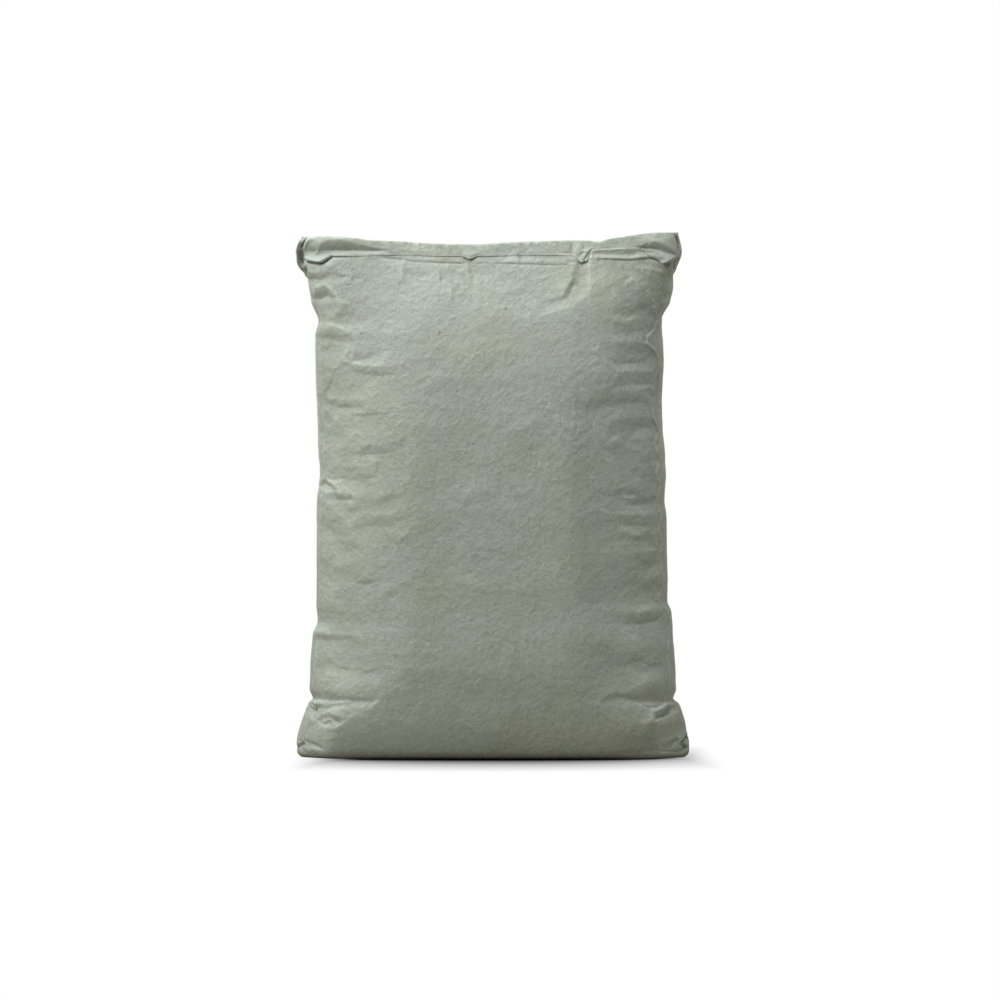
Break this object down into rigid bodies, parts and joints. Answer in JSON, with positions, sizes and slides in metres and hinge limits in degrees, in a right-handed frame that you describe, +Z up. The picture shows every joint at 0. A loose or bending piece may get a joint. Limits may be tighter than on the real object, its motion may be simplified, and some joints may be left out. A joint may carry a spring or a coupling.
{
  "type": "cement bag",
  "caption": "Filled paper cement sack standing on its folded block bottom, with its mouth folded over to the front and glued shut.",
  "frame": {"origin": "on the floor, at the middle of the box around the sack, under the middle of its flat bottom", "axes": "+Z up from the flat bottom to the folded mouth, -Y towards the front, the side that the mouth is folded over to, +X to the right as seen from the front"},
  "size_m": [0.413, 0.114, 0.5506],
  "materials": {
    "sack_paper": "matt grey-green kraft paper, creased and dusty"
  },
  "bodies": {
    "root": {"paper_sack": "sack_paper"}
  },
  "joints": []
}
